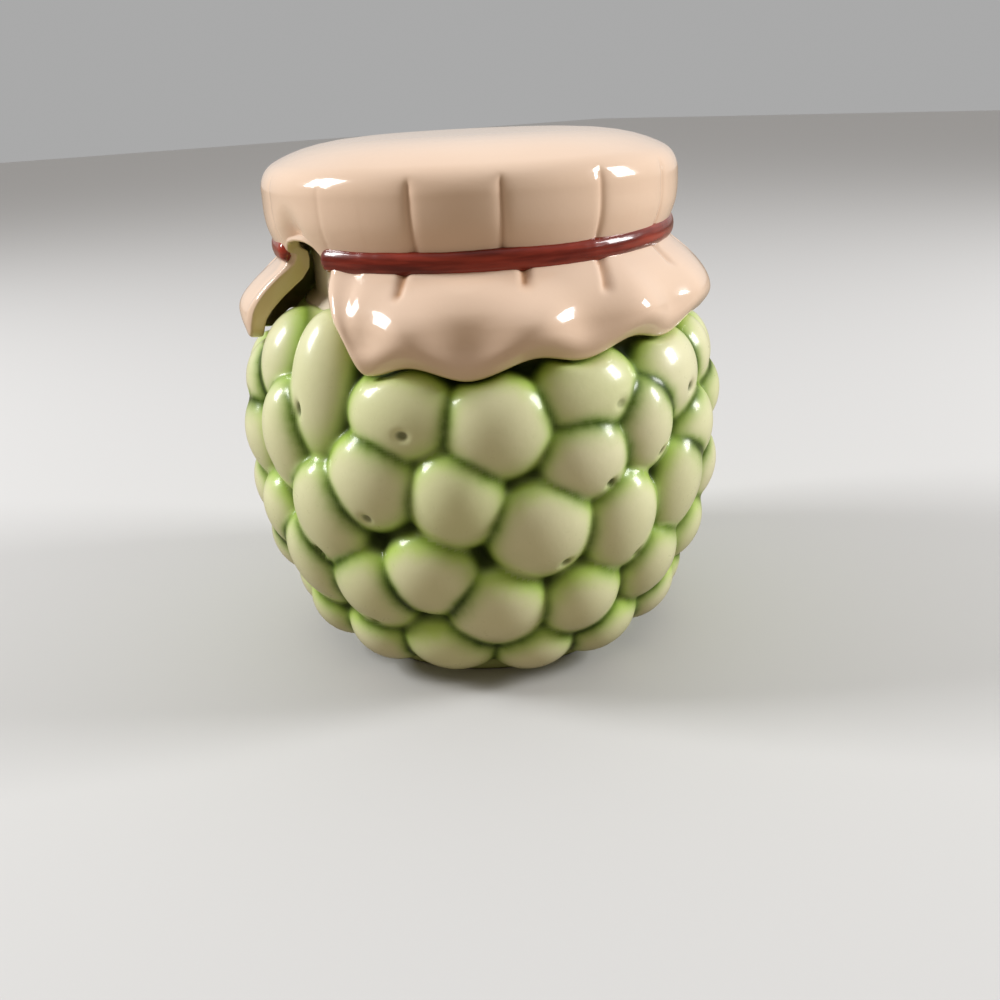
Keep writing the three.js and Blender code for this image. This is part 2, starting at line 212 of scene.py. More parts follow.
# The flap left of the notch hangs lower and turns under less. Its turn and width are in degrees.
FLAP_TURN = -24
FLAP_WIDTH = 14
FLAP_DROP = 1.4 * MM
FLAP_UNDER = 0.3
EDGE_WALL = 2.8 * MM
EDGE_SQUARENESS = 0.5
EDGE_FIT_POWER = 4
# A dent runs down to the notch: its turn from the notch's middle and its spread in degrees, and the heights
# between which it fades.
NOTCH_DENT = 2 * MM
NOTCH_DENT_TURN = -2
NOTCH_DENT_SPREAD = 5
NOTCH_DENT_FOOT = (82 * MM, 88 * MM)
NOTCH_DENT_HEAD = (88 * MM, 97 * MM)
# Share of the dent that takes the folds' brown, as painted shade.
NOTCH_DENT_SHADE = 0.5
# Each pleat: turn from the front, offset and lean of its lower crease, all in degrees, share of the depth,
# and the height in mm at which its lower crease ends.
PLEATS = [
    (-64, 0, 0, 0.2, 81), (-40, 0, 0, 0.2, 82), (-14.8, -3, 0, 1, 80.4), (7.1, 5, -2, 1, 81.4),
    (33, 0.5, -4, 0.8, 79.4), (58, 0, -2, 0.5, 81), (82, 2, 0, 0.8, 80), (106, -2, 2, 1, 81.5),
    (131, 0, -2, 0.8, 79.5), (154, 3, 0, 1, 80.5), (178, -1, 2, 0.9, 81.5), (203, 2, -2, 1, 80),
    (227, -3, 0, 0.8, 81.5), (250, 1, 2, 1, 80), (273, -2, 0, 0.9, 81),
]
PLEAT_DEPTH = 1 * MM
PLEAT_WIDTH = 0.6 * MM
PLEAT_SHARE = 0.7
SHOULDER_WIDTH = 4 * MM
SHOULDER_SHARE = 0.2
PLEAT_FOOT = (86 * MM, 88 * MM)
PLEAT_HEAD = (98 * MM, 100.5 * MM)
CREASE_WIDTH = 0.9 * MM
CREASE_SHARE = 1.2
CREASE_FOOT = (-0.6 * MM, 0.8 * MM)
CREASE_HEAD = (85 * MM, 86.5 * MM)
LEAN_TOP = 84 * MM
LEAN_REACH = 5 * MM
OUTSIDE_SHARE = 0.99

# Cord
CORD_WIDTH = 4.2 * MM
CORD_THICKNESS = 1.3 * MM
CORD_RIGHT_TURN = 8.8
CORD_LEFT_TURN = 11
CORD_RISE = 0.3 * MM
CORD_FRONT_DIP = 0.025
CORD_RIGHT_RISE = 0.005
CORD_POINTS = 500
CORD_SECTION_POINTS = 20
CORD_END_FULLNESS = 1.02
CORD_WANDER = 0.6 * MM
CORD_WANDER_SCALE = 60.0
CORD_SWELL = 0.25
CORD_RAGGED = 0.1
CORD_RAGGED_SCALE = 420.0

# Glazes
COAT = 0.5
COAT_ROUGHNESS = 0.04
SPECULAR = 0.25
BUMP_DEPTH = 0.2 * MM
CLOUD_SCALE = 30.0
FINE_SCALE = 700.0
SMOOTH_ROUGHNESS = 0.15
SMOOTH_VARIATION = 0.1
SMOOTH_BUMP = 0.08
POT_CREAM = ("#f0e4d2", "#e8d8c2")

# Berry glaze. A fade without a unit runs over the height on a berry, as a share of its rise.
BERRY_CREAM = ("#f2efca", "#eaedbc")
# Colours over the cream, each laid over the one before: strength and colour.
BERRY_LAYERS = {
    "wash": (0.85, "#bbdf58"),
    "near": (0.75, "#8dbb29"),
    # Green gathered in the creases, made darker than the glaze as painted shade.
    "pooled_glaze_and_shade": (0.9, "#354d08"),
    # Near-black green low in the gaps between berries: painted shade.
    "painted_gap_shade": (0.9, "#1d2b07"),
    "bare": (1.0, "#cddc92"),
    "pit": (0.85, "#4d5a26"),
}
BERRY_CLOUD_SCALE = 70.0
BERRY_GRAIN_SCALE = 420.0
BERRY_FINE_SCALE = 900.0
BERRY_ROUGHNESS = 0.3
BERRY_VARIATION = 0.15
BERRY_BUMP = 0.12
BERRY_COAT_ROUGHNESS = 0.12
WASH_FADE = (0.05, 0.8)
WASH_CLOUD = 0.4
WASH_GRAIN = 0.3
WASH_TOP = 0.35
GREEN_WIDTH = 2 * MM
GREEN_STRENGTH = 1.2
GREEN_GRAIN = 1.5
GREEN_DULLNESS = 0.8
POOL_WIDTH = 0.7 * MM
POOL_STRENGTH = 1.8
GAP_SHADE_FADE = (0.05, 0.5)
DEEP_ROUGHNESS = 0.4
BARE_FADE = (0.1, 0.4)
BARE_FOOT = 0.7
PIT_STAIN = (0.4 * MM, 1.1 * MM)
SHOULDER_FADE = (67 * MM, 73 * MM)
FOOT_FADE = (2 * MM, 6 * MM)

# Cover and cord glazes
COVER_BEIGE = ("#f7dec8", "#f0d1b7")
COVER_INSIDE = "#d9c594"
INSIDE_FADE = (0.75, 0.95)
# Brown of the folds: gathered glaze and painted shade in the creases, painted shade in the notch's dent.
FOLD_GLAZE_AND_SHADE_BROWN = "#b98659"
FOLD_GLAZE_AND_SHADE = 0.6
FOLD_GLAZE_AND_SHADE_LIMIT = 0.7
CORD_RED = ("#a13a2a", "#64180f")
CORD_ROUGHNESS = 0.18
STREAK_SCALE = 70.0
STREAK_STRETCH = 9
STREAK_FADE = (0.3, 0.7)
STREAK_ROUGHNESS = 0.08
STREAK_BUMP = 0.2
STREAK_DEPTH = 0.3 * MM

# Photograph's view
CAMERA_DISTANCE = 214 * MM
CAMERA_HEIGHT = 112 * MM
CAMERA_YAW = 0.75
CAMERA_PITCH = 22
CAMERA_ROLL = 2.9
CAMERA_LENS = 36.1
CAMERA_SENSOR = 36
CAMERA_NEAR = 10 * MM

# Lamps and stage. A lamp's turn from the front, to the right, and its elevation are in degrees.
LAMPS = {"left softbox": (-92, 33), "right softbox": (88, 24)}
LAMP_DISTANCE = 0.9
LAMP_SIZE = (0.24, 0.34)
LAMP_POWER = 6.7
FLOOR_REACH = 3.0
FLOOR_SEEN = (0.58, 0.58, 0.58, 1)
FLOOR_BOUNCE = (0.25, 0.21, 0.16, 1)
SKY_SEEN = (0.4, 0.4, 0.4, 1)
SKY_FRONT = (0.27, 0.21, 0.15, 1)
SKY_BACK = (0.64, 0.64, 0.64, 1)
SKY_BACK_SLANT = 0.5
SKY_RISE = 0.8
SKY_FADE = (-0.1, 0.9)


class Value:
    """A node's output that can be used in an expression: each operator adds a Math or Vector Math node."""

    def __init__(self, nodes, socket):
        self.nodes = nodes
        self.socket = socket

    def out(self, name):
        return Value(self.nodes, self.socket.node.outputs[name])

    def __add__(self, other):
        return self.nodes.math("ADD", self, other)

    def __radd__(self, other):
        return self.nodes.math("ADD", other, self)

    def __sub__(self, other):
        return self.nodes.math("SUBTRACT", self, other)

    def __rsub__(self, other):
        return self.nodes.math("SUBTRACT", other, self)

    def __mul__(self, other):
        return self.nodes.math("MULTIPLY", self, other)

    def __rmul__(self, other):
        return self.nodes.math("MULTIPLY", other, self)

    def __truediv__(self, other):
        return self.nodes.math("DIVIDE", self, other)

    def __rtruediv__(self, other):
        return self.nodes.math("DIVIDE", other, self)

    def __neg__(self):
        return self.nodes.math("MULTIPLY", self, -1.0)

    def math(self, operation, *others):
        return self.nodes.math(operation, self, *others)

    def fading(self):
        """1 where this is 0, falling towards 0 as it grows."""
        return (-self).math("EXPONENT")

    def dot(self, other):
        settings = {"operation": "DOT_PRODUCT"}
        return self.nodes.add("ShaderNodeVectorMath", settings, {0: self, 1: other}, "Value")

    def scaled(self, factor):
        settings = {"operation": "SCALE"}
        return self.nodes.add("ShaderNodeVectorMath", settings, {0: self, "Scale": factor})

    def part(self, axis):
        return self.nodes.add("ShaderNodeSeparateXYZ", {}, {0: self}, axis)

    def parts(self):
        return [self.part(axis) for axis in "XYZ"]


class Nodes:
    """A node tree, in which any node is made by one method."""

    def __init__(self, tree):
        self.tree = tree

    def add(self, kind, settings=None, inputs=None, output=0):
        node = self.tree.nodes.new(kind)
        for name, value in (settings or {}).items():
            setattr(node, name, value)
        for key, value in (inputs or {}).items():
            self.plug(node.inputs[key], value)
        return Value(self, node.outputs[output]) if len(node.outputs) else node

    def plug(self, socket, value):
        if isinstance(value, Value):
            self.tree.links.new(value.socket, socket)
        else:
            socket.default_value = value

    def math(self, operation, *values):
        vector = any(isinstance(v, Value) and v.socket.type == "VECTOR" for v in values)
        kind = "ShaderNodeVectorMath" if vector else "ShaderNodeMath"
        return self.add(kind, {"operation": operation}, dict(enumerate(values)))

    def vector(self, x, y, z):
        return self.add("ShaderNodeCombineXYZ", {}, {0: x, 1: y, 2: z})

    def mix(self, factor, a, b):
        """Mix two colours. The numbers are those of the node's sockets for colours."""
        return self.add("ShaderNodeMix", {"data_type": "RGBA"}, {0: factor, 6: a, 7: b}, 2)

    def step(self, value, low, high):
        """0 below low, 1 above high, and smooth between them."""
        inputs = {"Value": value, "From Min": low, "From Max": high}
        return self.add("ShaderNodeMapRange", {"interpolation_type": "SMOOTHSTEP"}, inputs)

    def noise(self, vector, scale, detail=2.0):
        inputs = {"Vector": vector, "Scale": scale, "Detail": detail}
        return self.add("ShaderNodeTexNoise", {}, inputs)

    def bump(self, height, strength, depth=BUMP_DEPTH):
        inputs = {"Strength": strength, "Distance": depth, "Height": height}
        return self.add("ShaderNodeBump", {}, inputs)


def geometry_tree(name, **inputs):
    """A Geometry Nodes tree with a mesh, a material and other named inputs, listed by their kinds."""
    tree = bpy.data.node_groups.new(name, "GeometryNodeTree")
    for kind, names in {"Geometry": ["Geometry"], "Material": ["Glaze"], **inputs}.items():
        for given in names:
            tree.interface.new_socket(given, in_out="INPUT", socket_type="NodeSocket" + kind)
    tree.interface.new_socket("Geometry", in_out="OUTPUT", socket_type="NodeSocketGeometry")
    return Nodes(tree)


def shape_with(piece, nodes, values):
    """Run a tree on a piece, with its inputs set, and keep the result as the piece's plain mesh."""
    modifier = piece.modifiers.new(nodes.tree.name, "NODES")
    modifier.node_group = nodes.tree
    for item in nodes.tree.interface.items_tree:
        if item.in_out == "INPUT" and item.name in values:
            modifier[item.identifier] = values[item.name]
    depsgraph = bpy.context.evaluated_depsgraph_get()
    mesh = bpy.data.meshes.new_from_object(piece.evaluated_get(depsgraph))
    piece.modifiers.clear()
    piece.data = mesh
    return piece


def new_object(name, data):
    made = bpy.data.objects.new(name, data)
    bpy.context.scene.collection.objects.link(made)
    return made


def smooth_curve(points):
    """A function that runs smoothly through (position, value) points."""
    x, y = np.array(sorted(points), float).T
    slope = np.gradient(y, x)

    def at(position):
        i = np.clip(np.searchsorted(x, position) - 1, 0, len(x) - 2)
        step = x[i + 1] - x[i]
        t = np.clip((position - x[i]) / step, 0, 1)
        rise = t * t * (3 - 2 * t)
        start = t * (1 - t) ** 2 * step * slope[i]
        end = t * t * (t - 1) * step * slope[i + 1]
        return y[i] * (1 - rise) + y[i + 1] * rise + start + end

    return at


def even_steps(x, y, count):
    """Positions along x that lie at even distances along the curve (x, y)."""
    length = np.concatenate([[0], np.cumsum(np.hypot(np.diff(x), np.diff(y)))])
    return np.interp(np.linspace(0, length[-1], count), length, x)


def skin_points(grid):
    """The points of a grid of rows, the first and last of which are poles, in the skin's order."""
    return np.concatenate([grid[:1, 0], grid[1:-1].reshape(-1, grid.shape[-1]), grid[-1:, 0]])


def quads(index):
    """Faces between the rows of an index grid whose columns close round Z."""
    after = np.roll(index, -1, 1)
    return np.stack([index[:-1], after[:-1], after[1:], index[1:]], -1).reshape(-1, 4).tolist()


def new_mesh(name, points, faces):
    mesh = bpy.data.meshes.new(name)
    mesh.from_pydata(points.tolist(), [], faces)
    mesh.update()
    return mesh


def skin(name, grid):
    """A closed mesh over a grid of points whose first and last rows are poles on the axis."""
    rows, columns = grid.shape[0] - 2, grid.shape[1]
    points = skin_points(grid)
    index = 1 + np.arange(rows * columns).reshape(rows, columns)
    after = np.roll(index, -1, 1)
    last = np.full(columns, len(points) - 1)
    faces = quads(index)
    faces += np.stack([np.zeros(columns, int), after[0], index[0]], -1).tolist()
    faces += np.stack([index[-1], after[-1], last], -1).tolist()
    return new_mesh(name, points, faces)


def ring_skin(name, grid):
    """A closed mesh over a grid of points whose last row meets its first one."""
    index = np.arange(grid.shape[0] * grid.shape[1]).reshape(grid.shape[:2])
    return new_mesh(name, grid.reshape(-1, 3), quads(np.concatenate([index, index[:1]])))


def turned(radius, angles, height):
    """Points at radii and heights, turned round Z by angles."""
    return np.stack([radius * np.cos(angles), radius * np.sin(angles), height + 0 * angles], -1)


def turned_grid(profile, columns):
    """Points of a [radius, height] profile turned round Z."""
    angles = np.linspace(0, 2 * math.pi, columns, endpoint=False)
    return turned(profile[:, :1], angles, profile[:, 1:])


def store(mesh, name, values):
    """A point attribute: numbers, or vectors where the values have three columns."""
    vector = values.ndim == 2 and values.shape[1] == 3
    attribute = mesh.attributes.new(name, "FLOAT_VECTOR" if vector else "FLOAT", "POINT")
    attribute.data.foreach_set("vector" if vector else "value", values.astype(np.float32).ravel())


def vessel_radius(height):
    """Radius of the wall under the berries: an ellipse below the belly and a fuller curve above it."""
    up = height > BELLY_HEIGHT
    power = np.where(up, SHOULDER_FULLNESS, 2)
    end_radius = np.where(up, NECK_RADIUS, FOOT_RADIUS)
    end_reach = np.where(up, SHOULDER_HEIGHT - BELLY_HEIGHT, BELLY_HEIGHT)
    reach = end_reach / (1 - (end_radius / BELLY_RADIUS) ** power) ** (1 / power)
    share = np.abs(height - BELLY_HEIGHT) / reach
    return BELLY_RADIUS * (1 - share ** power) ** (1 / power)


def vessel_tilt(height):
    """Tilt of the wall's outward normal above the horizontal."""
    step = 0.05 * MM
    return np.arctan((vessel_radius(height - step) - vessel_radius(height + step)) / (2 * step))


def round_corner(centre, radius, start, end, count):
    """Points [radius, height] on an arc, between two angles in degrees."""
    angles = np.radians(np.linspace(start, end, count))
    return np.stack([centre[0] + radius * np.cos(angles), centre[1] + radius * np.sin(angles)], -1)


def pot_profile():
    """Points [radius, height] from the underside's middle over the outside to the floor's middle."""
    recess_edge = FOOT_RADIUS - FOOT_RING_WIDTH
    under = [(0, FOOT_RECESS), (recess_edge / 2, FOOT_RECESS), (recess_edge - FOOT_RECESS, FOOT_RECESS)]
    under += [(recess_edge, FOOT_EDGE_RISE), (recess_edge + FOOT_EDGE_WIDTH, 0)]
    under += [(FOOT_RADIUS - FOOT_BEVEL, 0)]
    heights = np.linspace(TABLE_GAP, RELIEF_TOP, WALL_ROWS)
    backing = np.stack([vessel_radius(heights) - BACKING_DEPTH, heights], -1)
    heights = np.linspace(RELIEF_TOP, SHOULDER_HEIGHT, SHOULDER_ROWS)
    shoulder = np.stack([vessel_radius(heights), heights], -1)
    mouth = NECK_RADIUS - JAR_WALL
    rim_middle = rim_height - RIM_ROUND
    neck = [(NECK_RADIUS, z) for z in np.linspace(SHOULDER_HEIGHT, rim_middle, NECK_ROWS)[1:-1]]
    outer_rim = round_corner((NECK_RADIUS - RIM_ROUND, rim_middle), RIM_ROUND, 0, 90, RIM_ROWS)
    inner_rim = round_corner((mouth + RIM_ROUND, rim_middle), RIM_ROUND, 90, 180, RIM_ROWS)
    throat = [(mouth, z) for z in np.linspace(rim_middle, SHOULDER_HEIGHT, THROAT_ROWS)[1:]]
    heights = np.linspace(SHOULDER_HEIGHT - INSIDE_MARGIN, FLOOR_THICKNESS + INSIDE_MARGIN, WALL_ROWS)
    tilt = vessel_tilt(heights)
    inside = np.stack([
        np.maximum(vessel_radius(heights) - JAR_WALL * np.cos(tilt), mouth),
        heights - JAR_WALL * np.sin(tilt),
    ], -1)
    corner_height = FLOOR_THICKNESS + JAR_WALL
    inside = inside[inside[:, 1] > corner_height]
    corner = round_corner((inside[-1][0] - JAR_WALL, corner_height), JAR_WALL, 0, -90, CORNER_ROWS)
    floor = [(corner[-1][0] / 2, FLOOR_THICKNESS), (0, FLOOR_THICKNESS)]
    return np.concatenate([
        under, backing, shoulder, neck, outer_rim, inner_rim, throat, inside, corner[1:], floor,
    ])


def spoon_slot(grid):
    """Let the rim dip on the notch's side, for a spoon's handle."""
    half = SLOT_WIDTH / 2
    side = np.clip((half - np.abs(grid[..., 1])) / SLOT_SIDE, 0, 1)
    dip = SLOT_DEPTH * side * side * (3 - 2 * side) * (grid[..., 0] < 0)
    above = np.clip((grid[..., 2] - SHOULDER_HEIGHT) / (rim_height - SHOULDER_HEIGHT), 0, 1)
    grid[..., 2] -= dip * above


def berry_places():
    """Points at the berries' middles, with their axes divided by half their lengths, and their pits."""
    pitch = (TOP_ROW_HEIGHT - LOWEST_ROW_HEIGHT) / (len(BERRY_ROWS) - 1)
    berries = []
    for row, entries in enumerate(BERRY_ROWS):
        for half_turn in (0, 180):
            berries += [(half_turn, LOWEST_ROW_HEIGHT + row * pitch, *entry) for entry in entries]
    berries += [(0, TOP_ROW_HEIGHT, *entry) for entry in SINGLE_BERRIES]
    half_turn, row_height, turn, lift, width, length, pit = np.array(berries).T
    angle = np.radians(FRONT_TURN + turn + half_turn)
    height = row_height + lift * MM
    tilt = vessel_tilt(height) - math.radians(BERRY_DROOP)
    up = np.array([0, 0, 1])
    radial = turned(1, angle, 0)
    around = np.cross(up, radial)
    out = radial * np.cos(tilt)[:, None] + up * np.sin(tilt)[:, None]
    along = up * np.cos(tilt)[:, None] - radial * np.sin(tilt)[:, None]
    tip = radial * (vessel_radius(height) + BERRY_RISE)[:, None] + up * height[:, None]
    mesh = bpy.data.meshes.new("berry_places")
    mesh.from_pydata((tip - out * BERRY_DEPTH).tolist(), [], [])
    store(mesh, "along", along / (length * BERRY_FULLNESS * MM / 2)[:, None])
    store(mesh, "out", out / BERRY_DEPTH)
    store(mesh, "around", around / (width * BERRY_FULLNESS * MM / 2)[:, None])
    pit_drop = np.where(row_height < TOP_ROW_HEIGHT, PIT_DROP, TOP_PIT_DROP)
    pit_side = PIT_SIDE * np.tanh((turn - PIT_MIDDLE_TURN) / PIT_TURN_SPREAD)
    pit_side *= np.clip((PIT_EDGE_TURN - turn) / PIT_EDGE_SPREAD, PIT_LEAST_SHARE, 1)
    store(mesh, "pit", np.stack([-pit_drop, pit_side, pit], -1))
    return new_object("berry_places", mesh)


def attribute(nodes, name, kind="FLOAT_VECTOR"):
    return nodes.add("GeometryNodeInputNamedAttribute", {"data_type": kind}, {"Name": name})


def stored(nodes, geometry, name, value, kind="FLOAT_VECTOR"):
    inputs = {"Geometry": geometry, "Name": name, "Value": value}
    return nodes.add("GeometryNodeStoreNamedAttribute", {"data_type": kind, "domain": "POINT"}, inputs)


def of_place(nodes, places, index, value, kind="FLOAT_VECTOR"):
    """A value at one of the points of a mesh."""
    inputs = {"Geometry": places, "Value": value, "Index": index}
    return nodes.add("GeometryNodeSampleIndex", {"data_type": kind, "domain": "POINT"}, inputs)


def blurred(nodes, value, rounds):
    inputs = {"Value": value, "Iterations": rounds, "Weight": BLUR_WEIGHT}
    return nodes.add("GeometryNodeBlurAttribute", {}, inputs)


def smooth_max(a, b, blend):
    """The larger of two heights, rounded where they are close."""
    near = (blend - (a - b).math("ABSOLUTE")).math("MAXIMUM", 0.0)
    return a.math("MAXIMUM", b) + near * near / (blend * 4)


def finished(nodes, geometry, glaze):
    """End a tree: smooth shading, real meshes and the material."""
    smooth = nodes.add("GeometryNodeSetShadeSmooth", {}, {"Geometry": geometry})
    real = nodes.add("GeometryNodeRealizeInstances", {}, {"Geometry": smooth})
    painted = nodes.add("GeometryNodeSetMaterial", {}, {"Geometry": real, "Material": glaze})
    nodes.add("NodeGroupOutput", {}, {"Geometry": painted})


def raise_berries(nodes, given, wall):
    """Loop over the berries: each point keeps its heights, and the pit and mark of its highest berry."""
    places = nodes.add("GeometryNodeObjectInfo", {}, {"Object": given.out("Places")}, "Geometry")
    count = nodes.add("GeometryNodeAttributeDomainSize", {"component": "MESH"}, {"Geometry": places})
    begin = nodes.tree.nodes.new("GeometryNodeRepeatInput")
    end = nodes.tree.nodes.new("GeometryNodeRepeatOutput")
    begin.pair_with_output(end)
    nodes.plug(begin.inputs["Iterations"], count)
    nodes.plug(begin.inputs["Geometry"], wall)
    number = Value(nodes, begin.outputs["Iteration"])
    tone = nodes.add("FunctionNodeRandomValue", {"data_type": "FLOAT"}, {"ID": number, "Seed": TONE_SEED}, 1)

    # Where the point's ray leaves the berry, in the berry's own axes.
    position = nodes.add("GeometryNodeInputPosition")
    ray = attribute(nodes, "ray")
    offset = position - of_place(nodes, places, number, position)
    axes = [of_place(nodes, places, number, attribute(nodes, name)) for name in ("along", "out", "around")]
    start = nodes.vector(*[offset.dot(axis) for axis in axes])
    reach = nodes.vector(*[ray.dot(axis) for axis in axes])
    square = reach.dot(reach)
    half = start.dot(reach)
    root = half * half - square * (start.dot(start) - 1)
    hit = root.math("GREATER_THAN", 0.0)
    exact = (root.math("MAXIMUM", 0.0).math("SQRT") - half) / square
    height = exact * hit - BERRY_DEPTH * (1 - hit)
    along, out, around = (start + reach.scaled(height)).parts()

    rounded, highest, second = attribute(nodes, "heights").parts()
    wins = height.math("GREATER_THAN", highest)

    def kept(name, value):
        old = attribute(nodes, name)
        return old + (value - old).scaled(wins)

    drop, side, share = of_place(nodes, places, number, attribute(nodes, "pit")).parts()
    size = given.out("Berry Size")
    pit = nodes.vector((along - drop) * size, (around - side) * size, share * out.math("GREATER_THAN", 0.0))
    # Heights holds the rounded height, the highest berry's and the next highest.
    body = Value(nodes, begin.outputs["Geometry"])
    body = stored(nodes, body, "pit_place", kept("pit_place", pit))
    body = stored(nodes, body, "mark", kept("mark", nodes.vector(tone, along, 0.0)))
    body = stored(nodes, body, "heights", nodes.vector(
        smooth_max(rounded, height, given.out("Crease Round")),
        highest.math("MAXIMUM", height),
        second.math("MAXIMUM", highest.math("MINIMUM", height)),
    ))
    nodes.plug(end.inputs["Geometry"], body)
    return Value(nodes, end.outputs["Geometry"])


def free_height(nodes, given, height):
    """A height along the ray that leaves room for the table below and for the lid's hem above."""
    x, y, z = nodes.add("GeometryNodeInputPosition").parts()
    radius = (x * x + y * y).math("SQRT")
    ray_up = attribute(nodes, "ray").part("Z")
    ray_out = (1 - ray_up * ray_up).math("SQRT")
    above_table = (z - given.out("Table Gap")).math("MAXIMUM", 0.0)
    to_table = above_table / (-ray_up).math("MAXIMUM", LEAST_SLOPE)
    to_hem_side = (given.out("Hem Radius") - radius) / ray_out
    to_hem_base = (attribute(nodes, "hem", "FLOAT") - z) / ray_up.math("MAXIMUM", LEAST_SLOPE)
    room = to_table.math("MINIMUM", to_hem_side.math("MAXIMUM", to_hem_base))
    return -smooth_max(-height, -room, ROOM_ROUND)


def berry_relief():
    """A tree that raises berries on a plain wall, each point along its own ray, and rounds the creases."""
    sizes = ["Crease Round", "Table Gap", "Hem Radius", "Pit Width", "Pit Depth", "Berry Size"]
    nodes = geometry_tree("berry relief", Object=["Places"], Float=sizes)
    given = nodes.add("NodeGroupInput")
    lowest = attribute(nodes, "lowest", "FLOAT")
    start_heights = nodes.vector(lowest, lowest, -BERRY_DEPTH)
    wall = stored(nodes, given.out("Geometry"), "heights", start_heights)
    wall = stored(nodes, wall, "pit_place", (0.0, 0.0, 0.0))
    wall = stored(nodes, wall, "mark", (0.5, 0.0, 0.0))
    raised = raise_berries(nodes, given, wall)
    rounded, highest, second = attribute(nodes, "heights").parts()
    on_wall = attribute(nodes, "wall", "FLOAT")
    soft = blurred(nodes, free_height(nodes, given, rounded) * on_wall, HEIGHT_BLUR)

    # Pits, low on the berries.
    up, across, share = attribute(nodes, "pit_place").parts()
    away = (up * up + across * across) / (given.out("Pit Width") * given.out("Pit Width") / 4)
    dimple = share * given.out("Pit Depth") * away.fading()

    # How far a point is from a crease, for the glaze.
    between = highest - second.math("MAXIMUM", lowest)
    round_gap = given.out("Crease Round") / 2
    gap = blurred(nodes, (between * between + round_gap * round_gap).math("SQRT") - round_gap, GAP_BLUR)
    upper = attribute(nodes, "mark").part("Y")
    raised = stored(nodes, raised, "crease", nodes.vector(gap, upper, soft))

    lift = attribute(nodes, "ray").scaled((soft - dimple) * on_wall)
    raised = nodes.add("GeometryNodeSetPosition", {}, {"Geometry": raised, "Offset": lift})
    for name in ("heights", "ray", "wall", "hem", "lowest"):
        raised = nodes.add("GeometryNodeRemoveAttribute", {}, {"Geometry": raised, "Name": name})
    finished(nodes, raised, given.out("Glaze"))
    return nodes


def make_pot(glaze):
    grid = turned_grid(pot_profile(), POT_COLUMNS)
    spoon_slot(grid)
    pot = new_object("plain_pot", skin("pot", grid))
    pot.data.materials.append(glaze)
    pot.data.shade_smooth()
    return pot


def make_relief(glaze):
    heights = np.linspace(TABLE_GAP, RELIEF_TOP, PROFILE_SAMPLES)
    heights = even_steps(heights, vessel_radius(heights), RELIEF_ROWS)
    outside = np.stack([vessel_radius(heights), heights], -1)
    behind = outside[::-RELIEF_BACK_STEP] - [RELIEF_WALL, 0]
    grid = turned_grid(np.concatenate([outside, behind]), RELIEF_COLUMNS)
    level = np.concatenate([heights, behind[:, 1]])[:, None]
    angles = np.arctan2(grid[..., 1], grid[..., 0])
    tilt = vessel_tilt(level) - math.radians(BERRY_DROOP) + 0 * angles
    ray = turned(np.cos(tilt), angles, np.sin(tilt))
    wall = (np.arange(len(grid)) < RELIEF_ROWS)[:, None] + 0.0 * angles
    mesh = ring_skin("relief", grid)
    store(mesh, "ray", ray.reshape(-1, 3))
    store(mesh, "wall", wall.ravel())
    from_edge = np.minimum(level, RELIEF_TOP - BARE_SHOULDER - level)
    store(mesh, "lowest", (-GAP_DEPTH * np.clip(from_edge / GAP_FADE, 0, 1) + 0 * angles).ravel())
    store(mesh, "hem", (lid_edge(angles) - HEM_GAP).ravel())
    places = berry_places()
    relief = shape_with(new_object("raised_berries", mesh), berry_relief(), {
        "Glaze": glaze,
        "Places": places,
        "Crease Round": CREASE_ROUND,
        "Table Gap": TABLE_GAP,
        "Hem Radius": HEM_ROOM_RADIUS,
        "Pit Width": PIT_WIDTH,
        "Pit Depth": PIT_DEPTH,
        "Berry Size": PIT_BERRY_SIZE,
    })
    bpy.data.objects.remove(places)
    return relief


def round_turn(angles, middle):
    """Turn from a direction, in degrees from -180 to 180."""
    return (np.degrees(angles) - middle + 180) % 360 - 180


def smooth_larger(a, b, blend):
    """The larger of two values, rounded where they are close."""
    near = np.maximum(blend - np.abs(a - b), 0)
    return np.maximum(a, b) + near * near / (4 * blend)


def all_round(points):
    """Points by turn in degrees, repeated one round before and one after."""
    return sorted({(turn + start, value) for start in (-360, 0, 360) for turn, value in points})


def hem_edge(angles):
    """Height of the hem's lower edge all round."""
    return smooth_curve(all_round(HEM_EDGE))(round_turn(angles, FRONT_TURN)) * MM


def notch_edge(angles):
    """Height of the notch's edge, far below the hem away from the notch."""
    turn = np.clip(round_turn(angles, NOTCH_DIRECTION), NOTCH_EDGE[0][0], NOTCH_EDGE[-1][0])
    return smooth_curve(NOTCH_EDGE)(turn) * MM


def lid_edge(angles):
    """Height of the lid's lower edge: the hem, and the notch's edge where that is higher."""
    return smooth_larger(notch_edge(angles), hem_edge(angles), NOTCH_CORNER)


def skirt_waves(angles):
    """How far the skirt stands out: its ridges lie where the hem's edge is higher than beside it."""
    turns, heights = np.array(HEM_EDGE[1:-1]).T
    bend = heights - (np.roll(heights, 1) + np.roll(heights, -1)) / 2
    waves = all_round(list(zip(turns, bend * WAVE_DEPTH)))
    return smooth_curve(waves)(round_turn(angles, FRONT_TURN)) * MM


def ceiling_rows():
    """Radius and height of the rows under the lid's ceiling, from its middle to its rounded corner."""
    corner = CROWN_RADIUS - CROWN_ROUND
    inner_round = CROWN_ROUND - LID_WALL
    middle = (corner, CEILING_HEIGHT - inner_round)
    rows = [(corner * share, CEILING_HEIGHT) for share in CEILING_SHARES]
    return rows + round_corner(middle, inner_round, 90, 0, CEILING_CORNER_ROWS).tolist()


def crown_rows():
    """Radius and height of the rows over the crown, from its rounded edge to its middle."""
    arc = round_corner((CROWN_RADIUS - CROWN_ROUND, SIDE_TOP), CROWN_ROUND, 0, CROWN_ROLL, CROWN_ROWS)
    edge, base = arc[-1]
    dome = [(edge * share, base + CROWN_DOME * (1 - share ** DOME_FULLNESS)) for share in DOME_SHARES]
    return arc[1:].tolist() + dome


